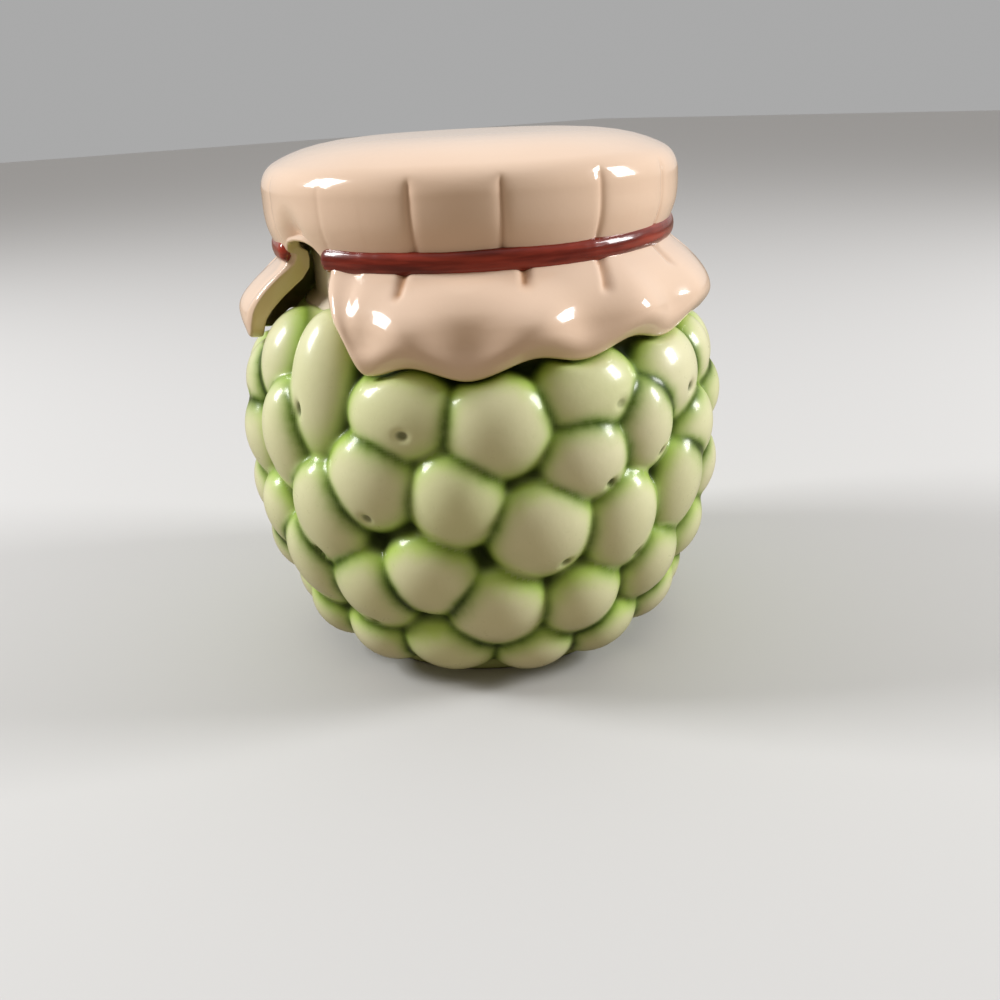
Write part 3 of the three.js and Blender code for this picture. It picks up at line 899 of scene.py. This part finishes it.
def lid_grid(angles):
    """Rows from the ceiling's middle down the inside, round the hem and up the outside to the crown.

    Also gives each row's share of the outside, which rises from 0 to 1 round the hem.
    """
    outside = smooth_curve([(z * MM, r * MM) for z, r in LID_OUTSIDE])
    inside = smooth_curve([(z * MM, r * MM) for z, r in LID_INSIDE])
    flap = np.exp(-((round_turn(angles, NOTCH_DIRECTION) - FLAP_TURN) / FLAP_WIDTH) ** 2)
    drop = FLAP_DROP * flap
    half = EDGE_WALL / 2
    edge = lid_edge(angles) + half
    step = 0.2 * MM
    slope = np.arctan((outside(edge + drop - step) - outside(edge + drop + step)) / (2 * step))
    normal = np.stack([np.cos(slope), np.sin(slope)], -1)
    tangent = np.stack([np.sin(slope), -np.cos(slope)], -1)
    middle = np.stack([outside(edge + drop), edge], -1) - normal * half
    inner_edge, inner_height = (middle - normal * half).T

    rows = ceiling_rows()
    for share in np.linspace(0, 1, INSIDE_ROWS)[1:]:
        height = SIDE_TOP + (inner_height - SIDE_TOP) * share
        fit = (inner_edge - inside(inner_height + drop)) * share ** EDGE_FIT_POWER
        rows.append((inside(height + drop) + fit, height))
    inner_rows = len(rows)
    for angle in np.linspace(math.pi, 0, HEM_ROWS + 2)[1:-1]:
        across = math.copysign(abs(math.cos(angle)) ** EDGE_SQUARENESS, math.cos(angle))
        down = math.sin(angle) ** EDGE_SQUARENESS
        rows.append((middle + half * (across * normal + down * tangent)).T)
    bottom = HEM_MIDDLE + half
    sampled = np.linspace(bottom, SIDE_TOP, PROFILE_SAMPLES)
    for height in even_steps(sampled, outside(sampled), OUTSIDE_ROWS):
        level = edge + (SIDE_TOP - edge) * (height - bottom) / (SIDE_TOP - bottom)
        rows.append((outside(level + drop), level))
    rows += crown_rows()

    radius = np.stack([row[0] + 0 * angles for row in rows])
    height = np.stack([row[1] + 0 * angles for row in rows])
    above = height - lid_edge(angles)
    under = smooth_larger(HEM_TURN_HEIGHT - above, 0, HEM_TURN_ROUND) * HEM_TURN_SLOPE
    under *= 1 - (1 - FLAP_UNDER) * flap
    wave = np.clip(smooth_curve(WAVE_SHARE)(above / MM), 0, 1)
    radius += np.where(height < SKIRT_TOP, skirt_waves(angles) * wave - under, 0)
    outer = np.clip((np.arange(len(rows)) - inner_rows) / HEM_ROWS, 0, 1)
    return turned(radius, angles, height), outer


def pleat_places():
    """Points on a unit circle with each pleat's direction, depth and lower crease."""
    turn, offset, lean, share, end = np.array(PLEATS).T
    angle = np.radians(FRONT_TURN + turn)
    mesh = bpy.data.meshes.new("pleat_places")
    mesh.from_pydata(turned(1, angle, 0).tolist(), [], [])
    store(mesh, "offset", np.radians(offset))
    store(mesh, "lean", np.radians(lean))
    store(mesh, "share", share)
    store(mesh, "end", end * MM)
    return new_object("pleat_places", mesh)


def cloth_folds():
    """A tree that gathers a plain cover into pleats at the cord, and dents it over the notch."""
    sizes = ["Pleat Depth", "Pleat Width", "Shoulder Width", "Crease Width", "Notch Dent"]
    nodes = geometry_tree("cloth folds", Object=["Pleats"], Float=sizes)
    given = nodes.add("NodeGroupInput")
    places = nodes.add("GeometryNodeObjectInfo", {}, {"Object": given.out("Pleats")}, "Geometry")
    position = nodes.add("GeometryNodeInputPosition")
    x, y, z = position.parts()
    radius = (x * x + y * y).math("SQRT").math("MAXIMUM", MM)
    out = nodes.vector(x / radius, y / radius, 0.0)
    on_outside = attribute(nodes, "outer", "FLOAT").math("GREATER_THAN", OUTSIDE_SHARE)

    # The nearest pleat.
    nearest = nodes.add("GeometryNodeSampleNearest", {}, {"Geometry": places, "Sample Position": out})
    line = of_place(nodes, places, nearest, position)
    offset, lean, share, end = [
        of_place(nodes, places, nearest, attribute(nodes, name, "FLOAT"), "FLOAT")
        for name in ("offset", "lean", "share", "end")
    ]
    side = line.part("X") * out.part("Y") - line.part("Y") * out.part("X")
    away = (side * radius).math("ABSOLUTE")
    sharp = (away / given.out("Pleat Width")).fading() * PLEAT_SHARE
    broad = (away / given.out("Shoulder Width")).fading() * SHOULDER_SHARE
    upper = (sharp + broad) * nodes.step(z, *PLEAT_FOOT) * (1 - nodes.step(z, *PLEAT_HEAD))
    lower_side = side - offset - lean * (LEAN_TOP - z) / LEAN_REACH
    across = lower_side * radius / given.out("Crease Width")
    pinch = (across * across).fading() * CREASE_SHARE
    lower = pinch * nodes.step(z - end, *CREASE_FOOT) * (1 - nodes.step(z, *CREASE_HEAD))
    crease = (upper + lower) * on_outside * share

    # The dent over the notch, which faces -X.
    turn, spread = [math.sin(math.radians(a)) for a in (NOTCH_DENT_TURN, NOTCH_DENT_SPREAD)]
    from_notch = (y / radius + turn) / spread
    funnel = (from_notch * from_notch).fading() * x.math("LESS_THAN", 0.0)
    dent = funnel * nodes.step(z, *NOTCH_DENT_FOOT) * (1 - nodes.step(z, *NOTCH_DENT_HEAD)) * on_outside

    push = -(crease * given.out("Pleat Depth") + dent * given.out("Notch Dent"))
    inputs = {"Geometry": given.out("Geometry"), "Offset": out.scaled(push)}
    folded = nodes.add("GeometryNodeSetPosition", {}, inputs)
    # How much brown the glaze puts here: gathered glaze and painted shade in the creases, painted shade in
    # the dent.
    folded = stored(nodes, folded, "fold", crease + dent * NOTCH_DENT_SHADE, "FLOAT")
    finished(nodes, folded, given.out("Glaze"))
    return nodes


def make_lid(glaze):
    angles = np.linspace(0, 2 * math.pi, LID_COLUMNS, endpoint=False)
    grid, outer = lid_grid(angles)
    mesh = skin("lid", grid)
    store(mesh, "outer", skin_points(outer[:, None, None] + 0 * angles[:, None])[:, 0])
    places = pleat_places()
    lid = shape_with(new_object("cloth_cover", mesh), cloth_folds(), {
        "Glaze": glaze,
        "Pleats": places,
        "Pleat Depth": PLEAT_DEPTH,
        "Pleat Width": PLEAT_WIDTH,
        "Shoulder Width": SHOULDER_WIDTH,
        "Crease Width": CREASE_WIDTH,
        "Notch Dent": NOTCH_DENT,
    })
    bpy.data.objects.remove(places)
    return lid


def painted_cord():
    """A tree that lays a flat, round-ended cord along an arc, with hand-painted edges."""
    sizes = ["Radius", "Height", "Width", "Thickness", "Right Turn", "Left Turn"]
    nodes = geometry_tree("painted cord", Float=sizes, Vector=["Tilt"])
    given = nodes.add("NodeGroupInput")
    arc = nodes.add("GeometryNodeCurveArc", {"mode": "RADIUS"}, {
        "Resolution": CORD_POINTS,
        "Radius": given.out("Radius"),
        "Start Angle": given.out("Right Turn") - math.pi,
        "Sweep Angle": 2 * math.pi - given.out("Right Turn") - given.out("Left Turn"),
    })
    position = nodes.add("GeometryNodeInputPosition")
    wander = nodes.noise(position, CORD_WANDER_SCALE) - 0.5
    rise = given.out("Height") + position.dot(given.out("Tilt")) + wander * CORD_WANDER
    lift = nodes.vector(0.0, 0.0, rise)
    line = nodes.add("GeometryNodeSetPosition", {}, {"Geometry": arc, "Offset": lift})
    along = nodes.add("GeometryNodeSplineParameter").out("Length")
    total = nodes.add("GeometryNodeSplineLength")
    from_end = along.math("MINIMUM", total - along) / (given.out("Width") / 2)
    short = 1 - from_end.math("MINIMUM", 1.0)
    taper = (CORD_END_FULLNESS - short * short).math("SQRT")
    ragged = nodes.noise(position, CORD_RAGGED_SCALE, detail=3.0) - 0.5
    thick = taper * (1 + wander * CORD_SWELL + ragged * CORD_RAGGED)
    line = nodes.add("GeometryNodeSetCurveRadius", {}, {"Curve": line, "Radius": thick})
    line = nodes.add("GeometryNodeSetCurveNormal", {"mode": "Z_UP"}, {"Curve": line})
    inputs = {"Resolution": CORD_SECTION_POINTS, "Radius": 1.0}
    ring = nodes.add("GeometryNodeCurvePrimitiveCircle", {"mode": "RADIUS"}, inputs)
    scale = nodes.vector(given.out("Thickness"), given.out("Width") / 2, 1.0)
    section = nodes.add("GeometryNodeTransform", {}, {"Geometry": ring, "Scale": scale})
    inputs = {"Curve": line, "Profile Curve": section, "Fill Caps": True}
    inputs["Scale"] = nodes.add("GeometryNodeInputRadius")
    cord = nodes.add("GeometryNodeCurveToMesh", {}, inputs)
    finished(nodes, cord, given.out("Glaze"))
    return nodes


def make_cord(glaze):
    mesh = bpy.data.meshes.new("cord")
    toward = Vector(turned(1, math.radians(FRONT_TURN), 0))
    right = Vector((-toward.y, toward.x, 0))
    return shape_with(new_object("painted_cord", mesh), painted_cord(), {
        "Glaze": glaze,
        "Radius": cord_outside - CORD_THICKNESS,
        "Height": cord_height + CORD_RISE,
        "Width": CORD_WIDTH,
        "Thickness": CORD_THICKNESS,
        "Right Turn": math.radians(CORD_RIGHT_TURN),
        "Left Turn": math.radians(CORD_LEFT_TURN),
        "Tilt": right * CORD_RIGHT_RISE - toward * CORD_FRONT_DIP,
    })


def new_material(name):
    material = bpy.data.materials.new(name)
    material.use_nodes = True
    material.node_tree.nodes.clear()
    return material, Nodes(material.node_tree)


def colour(code):
    """A colour in linear light, with full alpha, from a web colour code."""
    channels = [int(code[i:i + 2], 16) / 255 for i in (1, 3, 5)]
    return (*[c / 12.92 if c <= 0.04045 else ((c + 0.055) / 1.055) ** 2.4 for c in channels], 1.0)


def fired(nodes, base, roughness, normal, coat=COAT, coat_roughness=COAT_ROUGHNESS):
    """A glazed surface: the glaze's colour under a clear glassy coat."""
    shader = nodes.add("ShaderNodeBsdfPrincipled", {}, {
        "Base Color": base,
        "Roughness": roughness,
        "Normal": normal,
        "Coat Weight": coat,
        "Coat Roughness": coat_roughness,
        "Specular IOR Level": SPECULAR,
    })
    nodes.add("ShaderNodeOutputMaterial", {}, {"Surface": shader})


def fired_smooth(nodes, here, base):
    """A glassy surface with a fine ripple."""
    fine = nodes.noise(here, FINE_SCALE, detail=3.0)
    roughness = SMOOTH_ROUGHNESS + (fine - 0.5) * SMOOTH_VARIATION
    fired(nodes, base, roughness, nodes.bump(fine, SMOOTH_BUMP))


def pot_glaze():
    """Plain cream glaze of the neck, the inside and the foot."""
    material, nodes = new_material("pot glaze")
    here = nodes.add("ShaderNodeTexCoord").out("Object")
    cloud = nodes.noise(here, CLOUD_SCALE, detail=3.0)
    fired_smooth(nodes, here, nodes.mix(cloud, *map(colour, POT_CREAM)))
    return material


def surface_mark(nodes, name, output="Vector"):
    """A value that a tree stored on the mesh."""
    return nodes.add("ShaderNodeAttribute", {"attribute_name": name}, {}, output)


def berry_glaze():
    """Cream glaze on the berries, green sprayed on their edges and gathered in the creases, with painted
    shade in creases and gaps.
    """
    material, nodes = new_material("berry glaze")
    here = nodes.add("ShaderNodeTexCoord").out("Object")
    gap, upper, height = surface_mark(nodes, "crease").parts()
    tone = surface_mark(nodes, "mark").part("X")
    cloud = nodes.noise(here, BERRY_CLOUD_SCALE, detail=4.0) - 0.5
    grain = nodes.noise(here, BERRY_GRAIN_SCALE, detail=4.0) - 0.5
    fine = nodes.noise(here, BERRY_FINE_SCALE, detail=3.0)

    # Where the green lies: sprayed low on a berry, near its edge, in the crease with painted shade, and
    # painted shade in a gap.
    level = height / BERRY_RISE
    top = upper.math("MAXIMUM", 0.0)
    sprayed = level + cloud * WASH_CLOUD + grain * WASH_GRAIN - top * WASH_TOP
    wash = 1 - nodes.step(sprayed, *WASH_FADE)
    near = (gap / GREEN_WIDTH).fading() * (GREEN_STRENGTH + grain * GREEN_GRAIN)
    # Green gathered in the crease, with painted shade darkening it.
    pooled_glaze_and_shade = (gap / POOL_WIDTH).fading() * (POOL_STRENGTH + grain)
    foot = 1 - nodes.step(here.part("Z"), *FOOT_FADE)
    shoulder = nodes.step(here.part("Z"), *SHOULDER_FADE)
    bare = shoulder.math("MAXIMUM", foot * BARE_FOOT) * (1 - nodes.step(level, *BARE_FADE))
    # Painted shade low between the berries, kept off the bare shoulder and foot.
    painted_gap_shade = (1 - nodes.step(level, *GAP_SHADE_FADE)) * (1 - bare)
    pit_up, pit_across, pit_share = surface_mark(nodes, "pit_place").parts()
    pit_away = (pit_up * pit_up + pit_across * pit_across).math("SQRT")
    pit = (1 - nodes.step(pit_away, *PIT_STAIN)) * pit_share

    base = nodes.mix(tone, *map(colour, BERRY_CREAM))
    masks = {"wash": wash, "near": near, "pooled_glaze_and_shade": pooled_glaze_and_shade, "painted_gap_shade": painted_gap_shade, "bare": bare, "pit": pit}
    for name, (strength, code) in BERRY_LAYERS.items():
        base = nodes.mix(masks[name] * strength, base, colour(code))
    roughness = BERRY_ROUGHNESS + (fine - 0.5) * BERRY_VARIATION + painted_gap_shade * DEEP_ROUGHNESS
    dull = painted_gap_shade.math("MAXIMUM", near * GREEN_DULLNESS).math("MINIMUM", 1.0)
    fired(nodes, base, roughness, nodes.bump(fine, BERRY_BUMP), COAT - dull * COAT, BERRY_COAT_ROUGHNESS)
    return material


def cover_glaze():
    """Pinkish beige glaze of the cloth cover, yellower inside, and browner in the folds from gathered glaze
    and painted shade.
    """
    material, nodes = new_material("cover glaze")
    here = nodes.add("ShaderNodeTexCoord").out("Object")
    fold = surface_mark(nodes, "fold", "Fac")
    inner = 1 - nodes.step(surface_mark(nodes, "outer", "Fac"), *INSIDE_FADE)
    cloud = nodes.noise(here, CLOUD_SCALE, detail=3.0)
    base = nodes.mix(cloud, *map(colour, COVER_BEIGE))
    # Brown in the folds: glaze gathered in the creases and painted shade; over the notch's dent only painted
    # shade.
    fold_glaze_and_shade = (fold * fold * FOLD_GLAZE_AND_SHADE).math("MINIMUM", FOLD_GLAZE_AND_SHADE_LIMIT)
    base = nodes.mix(fold_glaze_and_shade, base, colour(FOLD_GLAZE_AND_SHADE_BROWN))
    fired_smooth(nodes, here, nodes.mix(inner, base, colour(COVER_INSIDE)))
    return material


def cord_glaze():
    """Dark red brown paint of the cord, streaked by the brush."""
    material, nodes = new_material("cord glaze")
    x, y, z = nodes.add("ShaderNodeTexCoord").out("Object").parts()
    streak = nodes.noise(nodes.vector(x, y, z * STREAK_STRETCH), STREAK_SCALE, detail=3.0)
    streak = nodes.step(streak, *STREAK_FADE)
    base = nodes.mix(streak, *map(colour, CORD_RED))
    roughness = CORD_ROUGHNESS + streak * STREAK_ROUGHNESS
    fired(nodes, base, roughness, nodes.bump(streak, STREAK_BUMP, STREAK_DEPTH))
    return material


def make_camera():
    yaw, pitch, roll = [math.radians(a) for a in (CAMERA_YAW, CAMERA_PITCH, CAMERA_ROLL)]
    look = Vector((math.sin(yaw) * math.cos(pitch), math.cos(yaw) * math.cos(pitch), -math.sin(pitch)))
    level = Vector((math.cos(yaw), -math.sin(yaw), 0))
    upright = level.cross(look)
    right = level * math.cos(roll) - upright * math.sin(roll)
    up = level * math.sin(roll) + upright * math.cos(roll)
    facing = Matrix((right, up, -look)).transposed().to_4x4()
    facing.translation = Vector((0, -CAMERA_DISTANCE, CAMERA_HEIGHT))
    camera = new_object("camera", bpy.data.cameras.new("camera"))
    camera.data.lens = CAMERA_LENS
    camera.data.sensor_width = CAMERA_SENSOR
    camera.data.clip_start = CAMERA_NEAR
    # Placed on the -Y side, at 270 degrees, and turned from there to the front.
    camera.matrix_world = Matrix.Rotation(math.radians(FRONT_TURN - 270), 4, "Z") @ facing
    bpy.context.scene.camera = camera
    bpy.context.scene.view_settings.view_transform = "Standard"


def make_lamp(name, turn, elevation):
    """A soft lamp that looks at the jar."""
    rise = math.radians(elevation)
    away = Vector(turned(math.cos(rise), math.radians(FRONT_TURN + turn), math.sin(rise)))
    lamp = new_object(name, bpy.data.lights.new(name, "AREA"))
    lamp.data.shape = "RECTANGLE"
    lamp.data.size, lamp.data.size_y = LAMP_SIZE
    lamp.data.energy = LAMP_POWER
    lamp.location = Vector((0, 0, lid_top / 2)) + away * LAMP_DISTANCE
    lamp.rotation_mode = "QUATERNION"
    lamp.rotation_quaternion = (-away).to_track_quat("-Z", "Y")


def make_floor():
    """A floor that looks pale grey, and throws a little warm light back on the jar."""
    corners = np.array([(-1, -1, 0), (1, -1, 0), (1, 1, 0), (-1, 1, 0)]) * FLOOR_REACH
    floor = new_object("floor", new_mesh("floor", corners, [(0, 1, 2, 3)]))
    material, nodes = new_material("floor paint")
    seen = nodes.add("ShaderNodeLightPath").out("Is Camera Ray")
    paint = nodes.mix(seen, FLOOR_BOUNCE, FLOOR_SEEN)
    shader = nodes.add("ShaderNodeBsdfPrincipled", {}, {"Base Color": paint, "Roughness": 0.9})
    nodes.add("ShaderNodeOutputMaterial", {}, {"Surface": shader})
    floor.data.materials.append(material)


def make_world():
    """A grey room that is lighter above and behind the jar, and warm and dim in front of it."""
    world = bpy.data.worlds.new("studio")
    world.use_nodes = True
    world.node_tree.nodes.clear()
    nodes = Nodes(world.node_tree)
    seen = nodes.add("ShaderNodeLightPath").out("Is Camera Ray")
    above_behind = Vector(turned(-SKY_BACK_SLANT, math.radians(FRONT_TURN), SKY_RISE))
    height = nodes.add("ShaderNodeTexCoord").out("Generated").dot(above_behind)
    soft = nodes.mix(nodes.step(height, *SKY_FADE), SKY_FRONT, SKY_BACK)
    sky = nodes.add("ShaderNodeBackground", {}, {"Color": nodes.mix(seen, soft, SKY_SEEN)})
    nodes.add("ShaderNodeOutputWorld", {}, {"Surface": sky})
    bpy.context.scene.world = world


def attach(piece, body, node):
    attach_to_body(piece, body)
    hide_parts(node)


make_camera()
make_floor()
make_world()
for lamp_name, lamp_place in LAMPS.items():
    make_lamp(lamp_name, *lamp_place)
attach(make_pot(pot_glaze()), "jar", "jar_body")
attach(make_relief(berry_glaze()), "jar", "berry_relief")
attach(make_lid(cover_glaze()), "lid", "lid_cover")
attach(make_cord(cord_glaze()), "lid", "tie_cord")
